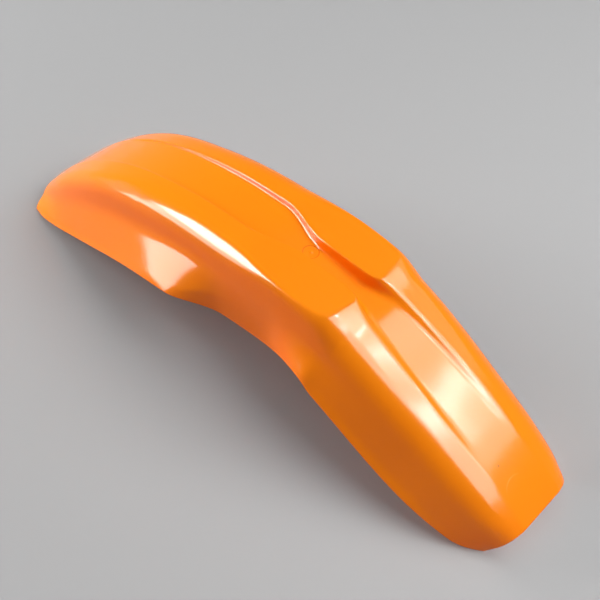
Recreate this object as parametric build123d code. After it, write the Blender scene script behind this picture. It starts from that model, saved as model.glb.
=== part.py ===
"""Motorcycle front mudguard: one moulded polypropylene shell that stands on its two ends."""

import os
from math import cos, degrees, hypot, radians, sin

from build123d import *

# Lengths are millimetres and angles degrees. Cross-sections lie on planes that fan out from the wheel axle.
# A place along the guard is a fan angle, measured at the axle from straight up and positive towards the tip.
WALL = 2.8
YOKE_RADIUS = 481.0  # axle to the flat pads that seat under the fork yoke
ARCH_HEIGHT = 151.0  # the same pads' height above the surface that the two ends stand on
PAD_SQUARE = -3.8  # place whose radius is square to the pads

# Places along the guard
REAR_END = -36.6
REAR_TURN = REAR_END + 1.2
REAR_CORNER = REAR_END + 3.6
CHANNEL_REAR = -28.5
PANEL_REAR = -24.0
PAD_FOOT = -9.6
PANEL_FRONT = -9.0
FORK_REAR = -7.0
PAD_BACK = -5.2
FORK_WAIST = 1.0
FORK_FRONT = 8.0
WING_BACK = 16.0
PANEL_FADE = 32.0
PANEL_END = 38.0
TIP = 50.0
TIP_CORNER = TIP - 2.5
NOSE = TIP - 7.0

# Half-widths of the lip
REAR_END_HALF = 53.0
REAR_PANEL_HALF = 84.5
FORK_HALF = 68.0
WING_HALF = 93.5
TIP_HALF = 69.0

# Centre channel: a shallow valley behind, deep between the pads, a shallow panel in front
CHANNEL_HALF_TAIL = 26.5
CHANNEL_HALF_REAR = 21.5
CHANNEL_HALF_PADS = 12.6
CHANNEL_HALF_FRONT = 24.5
CHANNEL_WALL_REAR = 6.0
CHANNEL_WALL_PADS = 4.0
CHANNEL_WALL_FRONT = 3.5
CHANNEL_DEPTH_TAIL = 2.2
CHANNEL_DEPTH_REAR = 5.0
CHANNEL_DEPTH_PADS = 16.5
CHANNEL_DEPTH_GATE = 12.2
CHANNEL_DEPTH_NECK = 5.2
CHANNEL_DEPTH_FRONT = 3.8
CHANNEL_DEPTH_FADE = 1.8

# Roundings of the cross-section, as the length taken from each side of a corner
CHANNEL_ROUND_REAR = 6.0
CHANNEL_ROUND_PADS = 4.0
CHANNEL_ROUND_GATE = 3.0
CHANNEL_ROUND_FRONT = 1.6
SHOULDER_ROUND_REAR = 18.0
SHOULDER_ROUND_PADS = 9.0
SHOULDER_ROUND_FORK = 12.0
SHOULDER_ROUND_WING = 24.0
SHOULDER_ROUND_NOSE = 14.0
SHOULDER_ROUND_TIP = 12.0
CREASE_ROUND = 8.0
SKIRT_ROUND = 6.0
# The most of a side that one rounding takes
ROUND_SHARE = 0.47
SHOULDER_SHARE = 0.6
CREASE_SHARE = 0.38

# Moulding gate mark on the channel floor
GATE_PLACE = 1.6
GATE_DIAMETER = 15.0
GATE_DEPTH = 0.4
GATE_NUB = 3.5

# Where the rear end and the tip meet the surface that they stand on, as a radius less the yoke's
stand = YOKE_RADIUS - ARCH_HEIGHT
rear_foot = stand / cos(radians(REAR_END)) - YOKE_RADIUS
tip_foot = stand / cos(radians(TIP)) - YOKE_RADIUS

# Cross-sections between one place and the next, closest where the ridges climb to the pads
SPACING = {REAR_END: 3, REAR_CORNER: 9, PAD_FOOT: 6, PAD_BACK: 9, FORK_FRONT: 16, TIP: 0}

# Character lines from the rear end to the tip. Crown, crease and lip are a radius less the yoke's; the
# shoulder and the channel floor are depths below the crown, and the skirt is above the lip.
CROWN = {REAR_END: rear_foot + 30, PANEL_REAR: -32.5, PAD_FOOT: -9, PAD_BACK: 4, FORK_WAIST: 5.1,
         FORK_FRONT: 9.5, WING_BACK: 20, PANEL_FADE: 41, TIP: tip_foot + 20.5}
CHANNEL_HALF = {REAR_END: CHANNEL_HALF_TAIL, PANEL_REAR: CHANNEL_HALF_TAIL,
                PAD_FOOT: CHANNEL_HALF_REAR, PAD_BACK: CHANNEL_HALF_PADS, FORK_WAIST: CHANNEL_HALF_PADS,
                FORK_FRONT: CHANNEL_HALF_FRONT, TIP: CHANNEL_HALF_FRONT}
CHANNEL_WALL = {REAR_END: CHANNEL_WALL_REAR, PAD_FOOT: CHANNEL_WALL_REAR,
                PAD_BACK: CHANNEL_WALL_PADS, FORK_WAIST: CHANNEL_WALL_PADS,
                FORK_FRONT: CHANNEL_WALL_FRONT, TIP: CHANNEL_WALL_FRONT}
CHANNEL_DEPTH = {REAR_END: 0, CHANNEL_REAR: 0, PANEL_REAR: CHANNEL_DEPTH_TAIL, PAD_FOOT: CHANNEL_DEPTH_REAR,
                 PAD_BACK: CHANNEL_DEPTH_PADS, FORK_WAIST: CHANNEL_DEPTH_GATE, FORK_FRONT: CHANNEL_DEPTH_NECK,
                 WING_BACK: CHANNEL_DEPTH_FRONT, PANEL_FADE: CHANNEL_DEPTH_FADE, PANEL_END: 0, TIP: 0}
CHANNEL_ROUNDS = {REAR_END: CHANNEL_ROUND_REAR, PAD_FOOT: CHANNEL_ROUND_REAR, PAD_BACK: CHANNEL_ROUND_PADS,
                  FORK_WAIST: CHANNEL_ROUND_GATE, FORK_FRONT: CHANNEL_ROUND_FRONT, TIP: CHANNEL_ROUND_FRONT}
SHOULDER_HALF = {REAR_END: 41, REAR_CORNER: 48, PANEL_REAR: 52, FORK_REAR: 56.5, FORK_WAIST: 58,
                 WING_BACK: 59.5, PANEL_FADE: 57, NOSE: 51, TIP: 42}
SHOULDER_DROP = {REAR_END: 4.5, PANEL_REAR: 5.5, PAD_FOOT: 4, PAD_BACK: 2, FORK_FRONT: 1.5,
                 PANEL_FADE: 4.5, TIP: 3}
SHOULDER_ROUNDS = {REAR_END: SHOULDER_ROUND_REAR, PAD_FOOT: SHOULDER_ROUND_REAR,
                   PAD_BACK: SHOULDER_ROUND_PADS, FORK_FRONT: SHOULDER_ROUND_FORK,
                   WING_BACK: SHOULDER_ROUND_WING, PANEL_FADE: SHOULDER_ROUND_NOSE,
                   TIP: SHOULDER_ROUND_TIP}
CREASE_HALF = {REAR_END: 48, REAR_CORNER: 57, PANEL_REAR: 63, PANEL_FRONT: 66, FORK_WAIST: 63.5,
               WING_BACK: 63.5, NOSE: 61, TIP: 52}
CREASE = {REAR_END: rear_foot + 15, REAR_CORNER: rear_foot + 11.5, PANEL_REAR: -56, PANEL_FRONT: -35,
          FORK_WAIST: -25.5, WING_BACK: -14.5, PANEL_FADE: 5, NOSE: tip_foot - 11.4, TIP: tip_foot + 10.1}
SKIRT_INSET = {REAR_END: 2, PANEL_REAR: 6, PANEL_FRONT: 7.5, FORK_WAIST: 2.5, WING_BACK: 3.5, NOSE: 3.5,
               TIP: 5}
SKIRT_RISE = {REAR_END: 5, PANEL_REAR: 6, FORK_REAR: 6, FORK_WAIST: 20, FORK_FRONT: 20, WING_BACK: 5,
              TIP: 4.5}
LIP_HALF = {REAR_END: REAR_END_HALF, REAR_TURN: 60.5, REAR_CORNER: 69.5, PANEL_REAR: 81,
            PANEL_FRONT: REAR_PANEL_HALF, FORK_WAIST: FORK_HALF, FORK_FRONT: 73, WING_BACK: WING_HALF,
            PANEL_FADE: 85.5, NOSE: 78, TIP_CORNER: 75.5, TIP: TIP_HALF}
LIP = {REAR_END: rear_foot, REAR_CORNER: rear_foot - 9, PANEL_REAR: -80.5, PANEL_FRONT: -59.5, FORK_REAR: -55,
       FORK_WAIST: -72.2, WING_BACK: -50.5, PANEL_FADE: -33.5, NOSE: tip_foot - 39.4,
       TIP_CORNER: tip_foot - 15.9, TIP: tip_foot}


def blend(line, place):
    """Value of a character line at a place: a smooth curve that never overshoots the line's own values."""
    places = list(line)
    values = list(line.values())
    lengths = [b - a for a, b in zip(places, places[1:])]
    rises = [(b - a) / length for a, b, length in zip(values, values[1:], lengths)]
    slopes = [rises[0]]
    for before, after, rise, next_rise in zip(lengths, lengths[1:], rises, rises[1:]):
        weight = 2 * after + before
        next_weight = after + 2 * before
        turns = rise * next_rise <= 0
        slopes.append(0 if turns else (weight + next_weight) / (weight / rise + next_weight / next_rise))
    slopes.append(rises[-1])
    if place <= places[0]:
        return values[0] + slopes[0] * (place - places[0])
    if place >= places[-1]:
        return values[-1] + slopes[-1] * (place - places[-1])
    span = sum(1 for key in places[1:-1] if key < place)
    share = (place - places[span]) / lengths[span]
    ease = share * share * (3 - 2 * share)
    bend = share * (1 - share) * ((1 - share) * slopes[span] - share * slopes[span + 1])
    return values[span] + (values[span + 1] - values[span]) * ease + bend * lengths[span]


def half_corners(place):
    """Corners of the right half of the outer section, as (half-width, radius less the yoke's), and their
    roundings, as (length, share of a side)."""
    crown = blend(CROWN, place)
    channel = blend(CHANNEL_HALF, place)
    lip_half = blend(LIP_HALF, place)
    lip = blend(LIP, place)
    corners = [
        (channel - blend(CHANNEL_WALL, place), crown - blend(CHANNEL_DEPTH, place)),
        (channel, crown),
        (blend(SHOULDER_HALF, place), crown - blend(SHOULDER_DROP, place)),
        (blend(CREASE_HALF, place), blend(CREASE, place)),
        (lip_half - blend(SKIRT_INSET, place), lip + blend(SKIRT_RISE, place)),
        (lip_half, lip),
    ]
    roundings = [
        (blend(CHANNEL_ROUNDS, place), ROUND_SHARE),
        (blend(CHANNEL_ROUNDS, place), ROUND_SHARE),
        (blend(SHOULDER_ROUNDS, place), SHOULDER_SHARE),
        (CREASE_ROUND, CREASE_SHARE),
        (SKIRT_ROUND, ROUND_SHARE),
    ]
    return corners, roundings


def inset(chain, distance):
    """The chain of (across, up) corners moved inwards, to the right of its direction."""
    legs = [(b[0] - a[0], b[1] - a[1]) for a, b in zip(chain, chain[1:])]
    normals = [(up / hypot(across, up), -across / hypot(across, up)) for across, up in legs]
    moved = []
    for corner, before, after in zip(chain, normals[:1] + normals, normals + normals[-1:]):
        share = distance / (1 + before[0] * after[0] + before[1] * after[1])
        moved.append((corner[0] + share * (before[0] + after[0]), corner[1] + share * (before[1] + after[1])))
    return moved


def along(start, end, distance):
    """The point at a distance from start towards end, or past it."""
    share = distance / hypot(end[0] - start[0], end[1] - start[1])
    return (start[0] + share * (end[0] - start[0]), start[1] + share * (end[1] - start[1]))


def section_face(place, cavity):
    """Filled cross-section: the outer form, or the cavity that the wall encloses."""
    corners, roundings = half_corners(place)
    right = [(across, YOKE_RADIUS + up) for across, up in corners]
    chain = [(-across, up) for across, up in reversed(right)] + right
    if cavity:
        chain = inset(chain, WALL)
        past_lip = along(chain[-1], chain[-2], -3 * WALL)
        chain = [(-past_lip[0], past_lip[1])] + chain[1:-1] + [past_lip]
        closing = [(past_lip[0], stand), (-past_lip[0], stand)]
    else:
        lip_cut = inset(chain, 2 * WALL)
        closing = [lip_cut[-1], lip_cut[0]]

    def point(corner):
        return (corner[1] * sin(radians(place)), corner[0], corner[1] * cos(radians(place)))

    edges = []
    last = chain[0]
    inner_corners = zip(chain, chain[1:], chain[2:], roundings[::-1] + roundings)
    for before, corner, after, (length, share) in inner_corners:
        sides = [hypot(other[0] - corner[0], other[1] - corner[1]) for other in (before, after)]
        reach = min(length, share * min(sides))
        start = along(corner, before, reach)
        end = along(corner, after, reach)
        edges.append(Line(point(last), point(start)))
        edges.append(Bezier(point(start), point(corner), point(end)))
        last = end
    loop = [last, chain[-1]] + closing + [chain[0]]
    edges += [Line(point(a), point(b)) for a, b in zip(loop, loop[1:])]
    return Face(Wire(edges))


def arch(cavity):
    """Loft of the cross-sections, cut flat for the pads. The cavity runs past both open ends."""
    stops = list(SPACING)
    places = []
    for first, last in zip(stops, stops[1:]):
        places += [first + (last - first) * step / SPACING[first] for step in range(SPACING[first])]
    places.append(TIP)
    if cavity:
        overrun = degrees(WALL / YOKE_RADIUS)
        places[0] -= overrun
        places[-1] += overrun
    body = loft([section_face(place, cavity) for place in places])
    up = (sin(radians(PAD_SQUARE)), 0, cos(radians(PAD_SQUARE)))
    radius = YOKE_RADIUS - (WALL if cavity else 0)
    pads = Plane(origin=(radius * up[0], 0, radius * up[2]), z_dir=up)
    return split(body, bisect_by=pads, keep=Keep.BOTTOM)


def floor_point(place):
    """Point on the middle of the channel floor."""
    radius = YOKE_RADIUS + blend(CROWN, place) - blend(CHANNEL_DEPTH, place)
    return Vector(radius * sin(radians(place)), 0, radius * cos(radians(place)))


def gate_mark(shell):
    """Round witness mark with a small nub, left by the moulding gate on the channel floor."""
    forward = floor_point(GATE_PLACE + 1) - floor_point(GATE_PLACE - 1)
    spot = Plane(floor_point(GATE_PLACE), x_dir=forward, z_dir=forward.cross(Vector(0, 1, 0)))
    dish = spot.offset(-GATE_DEPTH) * extrude(Circle(GATE_DIAMETER / 2), WALL)
    nub = spot.offset(-WALL / 2) * extrude(Circle(GATE_NUB / 2), (WALL + GATE_DEPTH) / 2)
    return shell - dish + nub


shell = gate_mark(arch(cavity=False) - arch(cavity=True))

# The guard stands on its ends, with the origin under the middle of its length.
extent = shell.bounding_box()
mudguard = Pos(-extent.center().X, 0, -extent.min.Z) * shell
os.makedirs("parts", exist_ok=True)
export_step(mudguard, "parts/mudguard.step")
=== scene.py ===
"""Motorcycle front mudguard of gloss orange polypropylene, standing on its two ends on a pale floor."""

from math import cos, degrees, pi, radians, sin

import bpy
import numpy as np
from mathutils import Matrix, Vector


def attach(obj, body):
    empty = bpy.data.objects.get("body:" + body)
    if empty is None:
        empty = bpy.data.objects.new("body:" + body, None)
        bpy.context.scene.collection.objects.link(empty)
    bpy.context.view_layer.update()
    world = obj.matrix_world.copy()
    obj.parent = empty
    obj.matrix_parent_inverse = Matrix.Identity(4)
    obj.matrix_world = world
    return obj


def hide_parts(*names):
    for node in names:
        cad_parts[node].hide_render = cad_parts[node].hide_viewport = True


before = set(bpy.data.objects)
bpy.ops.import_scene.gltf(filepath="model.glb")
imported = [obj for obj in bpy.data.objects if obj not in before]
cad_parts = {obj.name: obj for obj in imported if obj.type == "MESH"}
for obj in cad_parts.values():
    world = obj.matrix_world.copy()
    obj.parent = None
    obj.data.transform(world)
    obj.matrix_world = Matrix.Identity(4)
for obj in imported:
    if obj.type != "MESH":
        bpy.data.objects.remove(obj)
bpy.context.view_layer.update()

MM = 0.001

# Sizes in millimetres. Cross-sections lie on planes that fan out from the wheel axle. A place along the
# guard is a fan angle in degrees, measured at the axle from straight up and positive towards the tip.
WALL = 2.8
YOKE_RADIUS = 481.0  # axle to the flat pads that seat under the fork yoke
ARCH_HEIGHT = 151.0  # the same pads' height above the floor
PAD_SQUARE = -3.8  # place whose radius is square to the pads
PAD_EDGE = 0.9  # height over which the pads' edges are rounded

REAR_END = -36.6
REAR_TURN = REAR_END + 1.2
REAR_CORNER = REAR_END + 3.6
CHANNEL_REAR = -28.5
PANEL_REAR = -24.0
PAD_FOOT = -9.6
PANEL_FRONT = -9.0
FORK_REAR = -7.0
PAD_BACK = -5.2
FORK_WAIST = 1.0
FORK_FRONT = 8.0
WING_BACK = 16.0
PANEL_FADE = 32.0
PANEL_END = 38.0
TIP = 50.0
TIP_CORNER = TIP - 2.5
NOSE = TIP - 7.0

# Round mark of the mould's gate on the channel floor: a dish with a nub in its middle
GATE_PLACE = 1.6
GATE_DIAMETER = 15.0
GATE_DEPTH = 0.4
GATE_EDGE = 0.6  # half the width over which the dish and the nub slope
NUB_DIAMETER = 3.5
NUB_RISE = 1.5  # the nub's height as a share of the dish's depth

# Handling marks near the rear end, as points on the guard: a nick, and a pale scratch along part of a circle
NICK = (-290.5, 10.9, 59.4)
NICK_RADIUS = 1.6
SCRATCH_CENTRE = (-315.8, 7.2, 41.8)
SCRATCH_RADIUS = 16.0
SCRATCH_MIDDLE = (-302.8, 10.8, 50.9)
SCRATCH_REACH = 13.0
SCRATCH_WIDTH = 1.1

stand = YOKE_RADIUS - ARCH_HEIGHT
rear_foot = stand / cos(radians(REAR_END)) - YOKE_RADIUS
tip_foot = stand / cos(radians(TIP)) - YOKE_RADIUS

# Character lines from the rear end to the tip. Crown, crease and lip are a radius less the yoke's; the
# shoulder and the channel floor are depths below the crown, and the skirt is above the lip.
CROWN = {REAR_END: rear_foot + 30, PANEL_REAR: -32.5, PAD_FOOT: -9.0, PAD_BACK: 4, FORK_WAIST: 5.1,
         FORK_FRONT: 9.5, WING_BACK: 20, PANEL_FADE: 41, TIP: tip_foot + 20.5}
CHANNEL_HALF = {REAR_END: 26.5, PANEL_REAR: 26.5, PAD_FOOT: 21.5, PAD_BACK: 12.6, FORK_WAIST: 12.6,
                FORK_FRONT: 24.5, TIP: 24.5}
CHANNEL_WALL = {REAR_END: 6, PAD_FOOT: 6, PAD_BACK: 4, FORK_WAIST: 4, FORK_FRONT: 1.3, TIP: 1.3}
CHANNEL_DEPTH = {REAR_END: 0, CHANNEL_REAR: 0, PANEL_REAR: 1.3, PAD_FOOT: 5, PAD_BACK: 16.5,
                 FORK_WAIST: 12.2, FORK_FRONT: 5.2, WING_BACK: 3.8, PANEL_FADE: 1.8, PANEL_END: 0, TIP: 0}
CHANNEL_ROUND = {REAR_END: 6, PAD_FOOT: 6, PAD_BACK: 4, FORK_WAIST: 3, FORK_FRONT: 1.2, TIP: 1.2}
SHOULDER_HALF = {REAR_END: 41, REAR_CORNER: 48, PANEL_REAR: 52, FORK_REAR: 56.5, FORK_WAIST: 58,
                 WING_BACK: 59.5, PANEL_FADE: 57, NOSE: 51, TIP: 42}
SHOULDER_DROP = {REAR_END: 4.5, PANEL_REAR: 5.5, PAD_FOOT: 4, PAD_BACK: 2, FORK_FRONT: 1.5,
                 PANEL_FADE: 4.5, TIP: 3}
SHOULDER_ROUND = {REAR_END: 18, PAD_FOOT: 20, PAD_BACK: 15, FORK_WAIST: 11, FORK_FRONT: 20, WING_BACK: 28,
                  PANEL_FADE: 16, TIP: 12}
CREASE_HALF = {REAR_END: 48, REAR_CORNER: 57, PANEL_REAR: 63, PANEL_FRONT: 66, FORK_WAIST: 63.5,
               WING_BACK: 63.5, NOSE: 61, TIP: 52}
CREASE = {REAR_END: rear_foot + 15, REAR_CORNER: rear_foot + 11.5, PANEL_REAR: -56, PANEL_FRONT: -35,
          FORK_WAIST: -25.5, WING_BACK: -14.5, PANEL_FADE: 5, NOSE: tip_foot - 11.4, TIP: tip_foot + 10.1}
CREASE_ROUND = 8.0
SKIRT_INSET = {REAR_END: 2, PANEL_REAR: 6, PANEL_FRONT: 5, FORK_REAR: 3.2, FORK_WAIST: 2.5, WING_BACK: 3.5,
               NOSE: 3.5, TIP: 5}
SKIRT_RISE = {REAR_END: 5, PANEL_REAR: 6, FORK_REAR: 6, FORK_WAIST: 20, FORK_FRONT: 20, WING_BACK: 5,
              TIP: 4.5}
SKIRT_ROUND = 3.5
LIP_HALF = {REAR_END: 53, REAR_TURN: 60.5, REAR_CORNER: 69.5, PANEL_REAR: 81, PANEL_FRONT: 84.5,
            FORK_WAIST: 68, FORK_FRONT: 73, WING_BACK: 93.5, PANEL_FADE: 85.5, NOSE: 78,
            TIP_CORNER: 75.5, TIP: 69}
LIP = {REAR_END: rear_foot, REAR_CORNER: rear_foot - 9, PANEL_REAR: -80.5, PANEL_FRONT: -59.5,
       FORK_REAR: -55, FORK_WAIST: -72.2, WING_BACK: -50.5, PANEL_FADE: -33.5, NOSE: tip_foot - 39.4,
       TIP_CORNER: tip_foot - 15.9, TIP: tip_foot}
ROUND_SHARES = (0.47, 0.47, 0.72, 0.25, 0.47)  # the most of a side that each rounding takes, middle to lip

# Character lines are evened out by a bell curve: its spread in degrees, its reach in spreads, its samples
LINE_EASE = 0.45
EASE_REACH = 2
EASE_SAMPLES = 9

# Angle between mesh rows up to each place, and mesh columns on each straight and rounding, middle to lip
ROW_STEPS = {-11.0: 0.36, -5.0: 0.09, 0.2: 0.2, 3.0: 0.1, 10.0: 0.2, TIP: 0.36}
STRAIGHT_COLUMNS = (9, 3, 10, 10, 8, 3)
ROUND_COLUMNS = (6, 6, 12, 10, 5)
RIM_STEPS = 6


def smooth(share):
    """A share from 0 to 1, eased at both ends."""
    return share * share * (3 - 2 * share)


def blend(line, places):
    """Values of a character line: a smooth curve that never overshoots the line's own values."""
    knots = np.array(list(line), float)
    values = np.array(list(line.values()), float)
    lengths = np.diff(knots)
    rises = np.diff(values) / lengths
    slopes = np.zeros(len(knots))
    slopes[0], slopes[-1] = rises[0], rises[-1]
    for k in range(1, len(knots) - 1):
        if rises[k - 1] * rises[k] > 0:
            before, after = 2 * lengths[k] + lengths[k - 1], lengths[k] + 2 * lengths[k - 1]
            slopes[k] = (before + after) / (before / rises[k - 1] + after / rises[k])
    span = np.clip(np.searchsorted(knots, places) - 1, 0, len(lengths) - 1)
    share = (np.clip(places, knots[0], knots[-1]) - knots[span]) / lengths[span]
    bend = share * (1 - share) * ((1 - share) * slopes[span] - share * slopes[span + 1])
    inside = values[span] + (values[span + 1] - values[span]) * smooth(share) + bend * lengths[span]
    before_first = np.minimum(places - knots[0], 0) * slopes[0]
    return inside + before_first + np.maximum(places - knots[-1], 0) * slopes[-1]


def even(line, places):
    """A character line averaged over a short stretch, so that gloss runs along it without a break."""
    offsets = np.linspace(-EASE_REACH, EASE_REACH, EASE_SAMPLES)
    weights = np.exp(-offsets ** 2 / 2)
    weights /= weights.sum()
    return sum(w * blend(line, places + LINE_EASE * o) for w, o in zip(weights, offsets))


def row_places():
    """Fan angles of the mesh rows, closest where the pads rise and at the gate mark."""
    end_trim = degrees(WALL / 2 / YOKE_RADIUS)
    places = [REAR_END + end_trim]
    for stop, step in ROW_STEPS.items():
        stop = min(stop, TIP - end_trim)
        count = round((stop - places[-1]) / step)
        places += list(np.linspace(places[-1], stop, count + 1)[1:])
    # An odd number of rows, so that every second one reaches both ends
    if len(places) % 2 == 0:
        places.insert(1, (places[0] + places[1]) / 2)
    return np.array(places)


def half_corners(places):
    """Corners of the outer section's half, as (row, corner, (across, radius)), and their roundings."""
    crown = even(CROWN, places)
    channel = even(CHANNEL_HALF, places)
    lip_half = even(LIP_HALF, places)
    lip = even(LIP, places)
    channel_floor = crown - even(CHANNEL_DEPTH, places)
    corners = [
        (0 * crown, channel_floor),
        (channel - even(CHANNEL_WALL, places), channel_floor),
        (channel, crown),
        (even(SHOULDER_HALF, places), crown - even(SHOULDER_DROP, places)),
        (even(CREASE_HALF, places), even(CREASE, places)),
        (lip_half - even(SKIRT_INSET, places), lip + even(SKIRT_RISE, places)),
        (lip_half, lip),
    ]
    same = np.ones_like(places)
    channel_round = even(CHANNEL_ROUND, places)
    rounds = [channel_round, channel_round, even(SHOULDER_ROUND, places),
              CREASE_ROUND * same, SKIRT_ROUND * same]
    points = np.array([[across, YOKE_RADIUS + up] for across, up in corners])
    return points.transpose(2, 0, 1), np.array(rounds).T


def half_section(places):
    """Points from the middle of the channel floor to the lip, as (row, column, (across, radius))."""
    corners, rounds = half_corners(places)
    sides = np.linalg.norm(np.diff(corners, axis=1), axis=2)
    # The channel floor goes on across the middle
    sides[:, 0] *= 2
    # The rim's rounding takes the last half wall of the lip
    trim = (WALL / 2 / sides[:, -1])[:, None]
    corners[:, -1] += trim * (corners[:, -2] - corners[:, -1])
    columns = [corners[:, 0]]
    last = corners[:, 0]
    for k, count in enumerate(STRAIGHT_COLUMNS):
        corner = corners[:, k + 1]
        if k == len(ROUND_COLUMNS):
            columns += [last + t * (corner - last) for t in np.linspace(0, 1, count + 1)[1:]]
            break
        reach = np.minimum(rounds[:, k], ROUND_SHARES[k] * np.minimum(sides[:, k], sides[:, k + 1]))
        back = corners[:, k] - corner
        ahead = corners[:, k + 2] - corner
        start = corner + back * (reach / np.linalg.norm(back, axis=1))[:, None]
        end = corner + ahead * (reach / np.linalg.norm(ahead, axis=1))[:, None]
        columns += [last + t * (start - last) for t in np.linspace(0, 1, count + 1)[1:]]
        for t in np.linspace(0, 1, ROUND_COLUMNS[k] + 1)[1:]:
            columns.append((1 - t) ** 2 * start + 2 * t * (1 - t) * corner + t * t * end)
        last = end
    return np.array(columns).transpose(1, 0, 2)


def normals_of(grid):
    """Unit normals of a grid of points, away from the wheel."""
    along = np.gradient(grid, axis=0)
    across = np.gradient(grid, axis=1)
    normal = np.cross(along, across)
    return normal / np.linalg.norm(normal, axis=2, keepdims=True)


def flatten_pads(grid, depth):
    """The grid with everything above the pads' plane pressed flat, and the edge of the flat rounded."""
    up = np.array([sin(radians(PAD_SQUARE)), 0, cos(radians(PAD_SQUARE))])
    height = grid @ up - (YOKE_RADIUS - depth)
    eased = np.clip(height + PAD_EDGE, 0, 2 * PAD_EDGE) ** 2 / (4 * PAD_EDGE)
    pressed = eased + np.maximum(height - PAD_EDGE, 0)
    return grid - pressed[..., None] * up


def gate_point(grid, places):
    """Middle of the gate mark, on the channel floor."""
    return grid[np.abs(places - GATE_PLACE).argmin(), grid.shape[1] // 2]


def stamp_gate_mark(grid, places):
    """A shallow round dish with a nub in its middle, where the plastic entered the mould."""
    distance = np.linalg.norm(grid - gate_point(grid, places), axis=2)
    dish = np.clip((GATE_DIAMETER / 2 + GATE_EDGE - distance) / (2 * GATE_EDGE), 0, 1)
    nub = np.clip((NUB_DIAMETER / 2 + GATE_EDGE - distance) / (2 * GATE_EDGE), 0, 1)
    step = (smooth(nub) * NUB_RISE - smooth(dish)) * GATE_DEPTH
    return grid + step[..., None] * normals_of(grid)


def shell_grids(places):
    """Points of the outer and the inner face, row by row from the rear end to the tip."""
    half = half_section(places)
    section = np.concatenate([half[:, :0:-1] * (-1, 1), half], axis=1)
    across, radius = section[..., 0], section[..., 1]
    angle = np.radians(places)[:, None]
    base = np.stack([radius * np.sin(angle), across, radius * np.cos(angle)], axis=2)
    outer = stamp_gate_mark(flatten_pads(base, 0), places)
    inner = flatten_pads(base - WALL * normals_of(base), WALL)
    return outer, inner


def numbers_of(grid, first):
    """Vertex numbers of a grid of points, counted on from the first."""
    rows, columns = grid.shape[:2]
    return first + np.arange(rows * columns).reshape(rows, columns)


def loop_of(numbers):
    """Vertex numbers around the edge of a grid, in order."""
    return np.concatenate([numbers[0, :-1], numbers[:-1, -1], numbers[-1, :0:-1], numbers[:0:-1, 0]])


def grid_faces(numbers):
    """Four-sided faces of a grid, turned away from the wheel."""
    a, b = numbers[:-1, :-1], numbers[:-1, 1:]
    c, d = numbers[1:, 1:], numbers[1:, :-1]
    return np.stack([a, d, c, b], axis=2).reshape(-1, 4)


def rim_directions(outer, loop):
    """Unit directions out of the shell's edge, at each point of the loop."""
    outwards = np.zeros_like(outer)
    outwards[0] += outer[0] - outer[1]
    outwards[-1] += outer[-1] - outer[-2]
    lengths = np.linalg.norm(outwards, axis=2, keepdims=True)
    outwards /= np.where(lengths > 0, lengths, 1)
    for edge, beside in ((0, 1), (-1, -2)):
        away = outer[:, edge] - outer[:, beside]
        outwards[:, edge] += away / np.linalg.norm(away, axis=1, keepdims=True)
    outwards = outwards.reshape(-1, 3)[loop]
    return outwards / np.linalg.norm(outwards, axis=1, keepdims=True)


def rim_rings(outer, inner, loop):
    """Rings of points on the half round that joins the outer face's edge to the inner one's."""
    outwards = rim_directions(outer, loop)
    start = outer.reshape(-1, 3)[loop]
    middle = (start + inner.reshape(-1, 3)[loop]) / 2
    turns = [pi * step / RIM_STEPS for step in range(1, RIM_STEPS)]
    return [middle + cos(turn) * (start - middle) + sin(turn) * WALL / 2 * outwards for turn in turns]


def mudguard_mesh():
    """Closed shell: outer face, rounded rim, and inner face at half the density. Also the gate's middle."""
    places = row_places()
    outer, inner = shell_grids(places)
    outer_numbers = numbers_of(outer, 0)
    outer_loop = loop_of(outer_numbers)
    vertices = [outer.reshape(-1, 3)]
    faces = [grid_faces(outer_numbers)]
    last = outer_loop
    count = outer_numbers.size
    for ring in rim_rings(outer, inner, outer_loop):
        numbers = count + np.arange(len(ring))
        vertices.append(ring)
        faces.append(np.stack([last, np.roll(last, -1), np.roll(numbers, -1), numbers], axis=1))
        last = numbers
        count += len(ring)
    inner = inner[::2, ::2]
    inner_numbers = numbers_of(inner, count)
    vertices.append(inner.reshape(-1, 3))
    faces.append(grid_faces(inner_numbers)[:, ::-1])
    # Five-sided faces, as the rim has two points for each one of the inner face's edge
    inner_loop = loop_of(inner_numbers)
    rim_corners = [last[::2], last[1::2], np.roll(last, -2)[::2]]
    seam = np.stack(rim_corners + [np.roll(inner_loop, -1), inner_loop], axis=1)

    points = np.concatenate(vertices)
    lowest, highest = points.min(axis=0), points.max(axis=0)
    seat = np.array([(lowest[0] + highest[0]) / 2, 0, lowest[2]])
    points -= seat
    mesh = bpy.data.meshes.new("mudguard_shell")
    mesh.from_pydata((points * MM).tolist(), [], np.concatenate(faces).tolist() + seam.tolist())
    mesh.polygons.foreach_set("use_smooth", [True] * len(mesh.polygons))
    mesh.update()
    return mesh, gate_point(outer, places) - seat


def calculate(tree, operation, first, second):
    """Result of a sum on two values, each a number or the output of a node."""
    node = tree.nodes.new("ShaderNodeMath")
    node.operation = operation
    for socket, value in zip(node.inputs, (first, second)):
        if isinstance(value, float):
            socket.default_value = value
        else:
            tree.links.new(value, socket)
    return node.outputs["Value"]


def ranged(tree, value, start, end, low=0.0, high=1.0, interpolation="LINEAR"):
    """A value that goes from low at the start to high at the end, and is held beyond them."""
    node = tree.nodes.new("ShaderNodeMapRange")
    node.interpolation_type = interpolation
    node.inputs["From Min"].default_value = start
    node.inputs["From Max"].default_value = end
    node.inputs["To Min"].default_value = low
    node.inputs["To Max"].default_value = high
    tree.links.new(value, node.inputs["Value"])
    return node.outputs["Result"]


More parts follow.
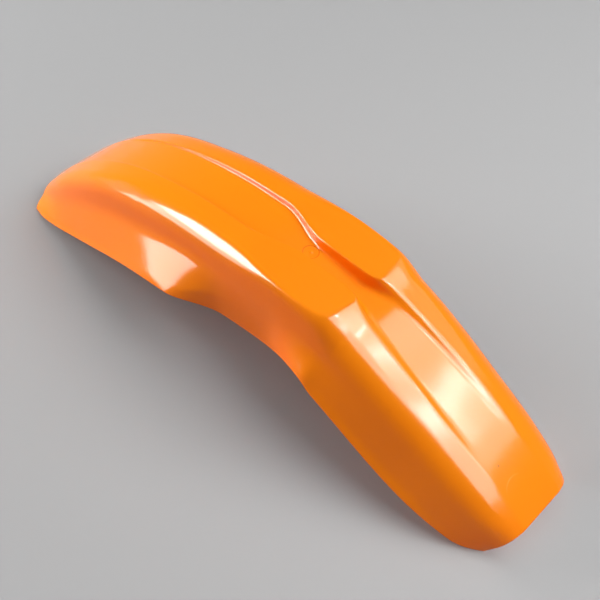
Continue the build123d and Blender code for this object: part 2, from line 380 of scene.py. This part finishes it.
def mixed(tree, first, second, share):
    """A share of the second colour over the first, which is a colour or the output of a node."""
    node = tree.nodes.new("ShaderNodeMix")
    node.data_type = "RGBA"
    if isinstance(first, tuple):
        node.inputs["A"].default_value = first
    else:
        tree.links.new(first, node.inputs["A"])
    node.inputs["B"].default_value = second
    tree.links.new(share, node.inputs["Factor"])
    return node.outputs["Result"]


# Orange of the plastic with painted shade and light: deeper on the walls and paler on what faces up, as
# light falls from above. Facing is the upward part of the normal, which slow noise shifts by up to the
# drift.
SHADED_WALL_ORANGE = (0.90, 0.162, 0.001, 1)
LIT_TOP_ORANGE = (0.98, 0.250, 0.005, 1)
SHADED_WALL_FACING = 0.28
LIT_TOP_FACING = 0.95
ORANGE_DRIFT = 0.16
ORANGE_DRIFT_SCALE = 9

# Colours of the marks, and how far each covers the orange. The gate's is painted shade, a dark ring in the
# corner around its dish.
GATE_RING_SHADE = (0.70, 0.10, 0.001, 1)
GATE_SHADE_COVER = 0.8
GATE_SHADE_RING_WIDTH = 0.7
NICK_TINT = (0.40, 0.12, 0.02, 1)
NICK_COVER = 0.8
SCRATCH_TINT = (1.0, 0.45, 0.10, 1)
SCRATCH_COVER = 0.5

# Polish that the mould leaves: its roughness from the best spots to the dullest, and a fine ripple
POLISH_BEST = 0.10
POLISH_DULL = 0.17
POLISH_SCALE = 35
POLISH_DETAIL = 4
RIPPLE_STRENGTH = 0.03
RIPPLE_HEIGHT = 0.5
RIPPLE_SCALE = 220
PLASTIC_IOR = 1.49
PLASTIC_SPECULAR = 0.28


def gloss_orange(gate):
    """Polypropylene coloured through, with painted shade on the walls and a painted shade ring at the gate
    mark, the mould's polish and the small marks of handling.
    """
    material = bpy.data.materials.new("gloss_orange_polypropylene")
    material.use_nodes = True
    tree = material.node_tree
    shader = tree.nodes["Principled BSDF"]
    place = tree.nodes.new("ShaderNodeTexCoord")

    def noise(scale, detail=2.0):
        node = tree.nodes.new("ShaderNodeTexNoise")
        node.inputs["Scale"].default_value = scale
        node.inputs["Detail"].default_value = detail
        tree.links.new(place.outputs["Object"], node.inputs["Vector"])
        return node.outputs["Fac"]

    def mark(point, radius, width, strength):
        """Strength at a radius around a point, fading to nothing over the width."""
        distance = tree.nodes.new("ShaderNodeVectorMath")
        distance.operation = "DISTANCE"
        distance.inputs[1].default_value = [value * MM for value in point]
        tree.links.new(place.outputs["Object"], distance.inputs[0])
        beyond = calculate(tree, "SUBTRACT", distance.outputs["Value"], radius * MM)
        gap = calculate(tree, "ABSOLUTE", beyond, 0.0)
        return ranged(tree, gap, 0.0, width * MM, strength, 0.0)

    facing = tree.nodes.new("ShaderNodeSeparateXYZ")
    tree.links.new(place.outputs["Normal"], facing.inputs["Vector"])
    drift = calculate(tree, "MULTIPLY", noise(ORANGE_DRIFT_SCALE), ORANGE_DRIFT)
    facing_for_shade = calculate(tree, "ADD", facing.outputs["Z"], drift)
    # Painted shade: the deeper orange on the walls and the paler one on what faces up, as light falls from
    # above
    colour = mixed(tree, SHADED_WALL_ORANGE, LIT_TOP_ORANGE, ranged(tree, facing_for_shade, SHADED_WALL_FACING, LIT_TOP_FACING))
    # Painted shade: a dark ring in the corner around the gate's dish
    gate_ring_shade = mark(gate, GATE_DIAMETER / 2, GATE_SHADE_RING_WIDTH, GATE_SHADE_COVER)
    colour = mixed(tree, colour, GATE_RING_SHADE, gate_ring_shade)
    colour = mixed(tree, colour, NICK_TINT, mark(NICK, 0.0, NICK_RADIUS, NICK_COVER))
    circle = mark(SCRATCH_CENTRE, SCRATCH_RADIUS, SCRATCH_WIDTH, SCRATCH_COVER)
    stretch = mark(SCRATCH_MIDDLE, 0.0, SCRATCH_REACH, 1.0)
    colour = mixed(tree, colour, SCRATCH_TINT, calculate(tree, "MULTIPLY", circle, stretch))
    tree.links.new(colour, shader.inputs["Base Color"])

    polish = noise(POLISH_SCALE, POLISH_DETAIL)
    roughness = ranged(tree, polish, 0.0, 1.0, POLISH_BEST, POLISH_DULL)
    tree.links.new(roughness, shader.inputs["Roughness"])

    ripple = tree.nodes.new("ShaderNodeBump")
    ripple.inputs["Strength"].default_value = RIPPLE_STRENGTH
    ripple.inputs["Distance"].default_value = RIPPLE_HEIGHT * MM
    tree.links.new(noise(RIPPLE_SCALE), ripple.inputs["Height"])
    tree.links.new(ripple.outputs["Normal"], shader.inputs["Normal"])
    shader.inputs["IOR"].default_value = PLASTIC_IOR
    shader.inputs["Specular IOR Level"].default_value = PLASTIC_SPECULAR
    return material


def mudguard():
    """The guard, one moulded piece."""
    mesh, gate = mudguard_mesh()
    mesh.materials.append(gloss_orange(gate))
    piece = bpy.data.objects.new("mudguard_shell", mesh)
    bpy.context.scene.collection.objects.link(piece)
    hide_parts("mudguard")
    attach(piece, "root")


# Floor and room. Sizes and distances are metres, and the backdrop's fade is degrees above the horizon.
FLOOR_SIZE = 60
FLOOR_GREY = (0.40, 0.40, 0.403, 1)
FLOOR_ROUGHNESS = 0.9
FLOOR_SPECULAR = 0.1
FLOOR_FADE_START = 0.8
FLOOR_FADE_END = 2.4
FAR_GREY = (0.34, 0.34, 0.343, 1)  # distant floor and the foot of the backdrop
ROOM_GREY = (0.07, 0.07, 0.07, 1)
BACKDROP_FADE = 30


def seen_share(tree):
    """1 for what is looked at, mirrored or seen through the guard, and 0 for what lights it."""
    path = tree.nodes.new("ShaderNodeLightPath")
    share = path.outputs["Is Camera Ray"]
    for ray in ("Is Glossy Ray", "Is Transmission Ray"):
        share = calculate(tree, "MAXIMUM", share, path.outputs[ray])
    return share


def floor():
    """Pale floor that fades, away from the guard, into the backdrop."""
    bpy.ops.mesh.primitive_plane_add(size=FLOOR_SIZE)
    plane = bpy.context.object
    plane.name = "floor"
    material = bpy.data.materials.new("pale_floor")
    material.use_nodes = True
    tree = material.node_tree
    near = tree.nodes["Principled BSDF"]
    near.inputs["Base Color"].default_value = FLOOR_GREY
    near.inputs["Roughness"].default_value = FLOOR_ROUGHNESS
    near.inputs["Specular IOR Level"].default_value = FLOOR_SPECULAR
    far = tree.nodes.new("ShaderNodeEmission")
    far.inputs["Color"].default_value = FAR_GREY
    place = tree.nodes.new("ShaderNodeTexCoord")
    distance = tree.nodes.new("ShaderNodeVectorMath")
    distance.operation = "LENGTH"
    tree.links.new(place.outputs["Object"], distance.inputs[0])
    fade = ranged(tree, distance.outputs["Value"], FLOOR_FADE_START, FLOOR_FADE_END,
                  interpolation="SMOOTHSTEP")
    blended = tree.nodes.new("ShaderNodeMixShader")
    tree.links.new(calculate(tree, "MULTIPLY", fade, seen_share(tree)), blended.inputs["Fac"])
    tree.links.new(near.outputs["BSDF"], blended.inputs[1])
    tree.links.new(far.outputs["Emission"], blended.inputs[2])
    tree.links.new(blended.outputs["Shader"], tree.nodes["Material Output"].inputs["Surface"])
    plane.data.materials.append(material)


def room():
    """Dim room whose backdrop is pale at the foot."""
    world = bpy.data.worlds.new("room")
    world.use_nodes = True
    tree = world.node_tree
    direction = tree.nodes.new("ShaderNodeTexCoord")
    split = tree.nodes.new("ShaderNodeSeparateXYZ")
    tree.links.new(direction.outputs["Generated"], split.inputs["Vector"])
    foot = ranged(tree, split.outputs["Z"], sin(radians(BACKDROP_FADE)), 0.0)
    share = calculate(tree, "MULTIPLY", foot, seen_share(tree))
    colour = mixed(tree, ROOM_GREY, FAR_GREY, share)
    tree.links.new(colour, tree.nodes["Background"].inputs["Color"])
    bpy.context.scene.world = world


# Soft boxes around the guard. Azimuth is measured from +X towards +Y and both angles are degrees, sizes and
# distance are metres, and radiance is what a reflection of the box shows. The first three light the guard
# and don't show in its gloss. The windows, the transom and the tubes only show in its gloss.
LIGHTING_BOXES = {
    "key": {"azimuth": 21, "elevation": 11, "size": (1.7, 1.0), "radiance": 23, "distance": 2.8},
    "fill": {"azimuth": -154, "elevation": 46, "size": (2.3, 1.3), "radiance": 6.0, "distance": 2.3},
    "overhead": {"azimuth": -100, "elevation": 66, "size": (1.6, 1.6), "radiance": 1.3},
}
MIRRORED_BOXES = {
    "valley_window": {"azimuth": -140.8, "elevation": 44, "size": (1.00, 1.10), "radiance": 7.9},
    "ridge_window": {"azimuth": -169.5, "elevation": 47, "size": (1.05, 1.32), "radiance": 11.5},
    "far_window": {"azimuth": -112.5, "elevation": 38, "size": (1.0, 1.15), "radiance": 2.0},
    "right_tube": {"azimuth": -142.3, "elevation": 39.4, "size": (0.40, 0.08), "radiance": 40,
                   "distance": 1.9},
    "rear_tube": {"azimuth": -171, "elevation": 45.5, "size": (0.50, 0.11), "radiance": 33, "distance": 1.9},
    "ramp_tube": {"azimuth": -153.6, "elevation": 55, "size": (0.10, 0.07), "radiance": 75, "distance": 1.9},
    "left_window": {"azimuth": 43, "elevation": 12, "size": (0.88, 0.58), "radiance": 14.0},
    "left_transom": {"azimuth": 41, "elevation": 35, "size": (0.95, 1.05), "radiance": 39},
}


def soft_box(name, mirrored, azimuth, elevation, size, radiance, distance=2.0):
    """Rectangular lamp that faces the middle of the guard."""
    data = bpy.data.lights.new(name, "AREA")
    data.shape = "RECTANGLE"
    data.size, data.size_y = size
    data.energy = radiance * pi * size[0] * size[1]
    lamp = bpy.data.objects.new(name, data)
    bpy.context.scene.collection.objects.link(lamp)
    turn, rise = radians(azimuth), radians(elevation)
    towards = Vector((cos(turn) * cos(rise), sin(turn) * cos(rise), sin(rise)))
    lamp.location = Vector((0, 0, ARCH_HEIGHT / 2 * MM)) + distance * towards
    lamp.rotation_euler = towards.to_track_quat("Z", "Y").to_euler()
    lamp.visible_diffuse = not mirrored
    lamp.visible_glossy = mirrored


# The camera of the photo, in millimetres and degrees
CAMERA_PLACE = (-449.83, 415.34, 720.23)
CAMERA_AZIMUTH = 224.2
CAMERA_ELEVATION = 48.3
CAMERA_LENS = 54.0


def camera():
    """Camera at the photo's viewing angle. Its azimuth is measured from -Y towards +X."""
    data = bpy.data.cameras.new("camera")
    data.lens = CAMERA_LENS
    eye = bpy.data.objects.new("camera", data)
    bpy.context.scene.collection.objects.link(eye)
    turn, rise = radians(CAMERA_AZIMUTH), radians(CAMERA_ELEVATION)
    back = Vector((sin(turn) * cos(rise), -cos(turn) * cos(rise), sin(rise)))
    right = Vector((0, 0, 1)).cross(back).normalized()
    up = back.cross(right)
    facing = Matrix((right, up, back)).transposed().to_4x4()
    eye.matrix_world = Matrix.Translation(Vector(CAMERA_PLACE) * MM) @ facing
    bpy.context.scene.camera = eye


mudguard()
floor()
room()
for box_name, box in LIGHTING_BOXES.items():
    soft_box(box_name, False, **box)
for box_name, box in MIRRORED_BOXES.items():
    soft_box(box_name, True, **box)
camera()
bpy.context.scene.view_settings.view_transform = "Standard"

bpy.context.view_layer.update()
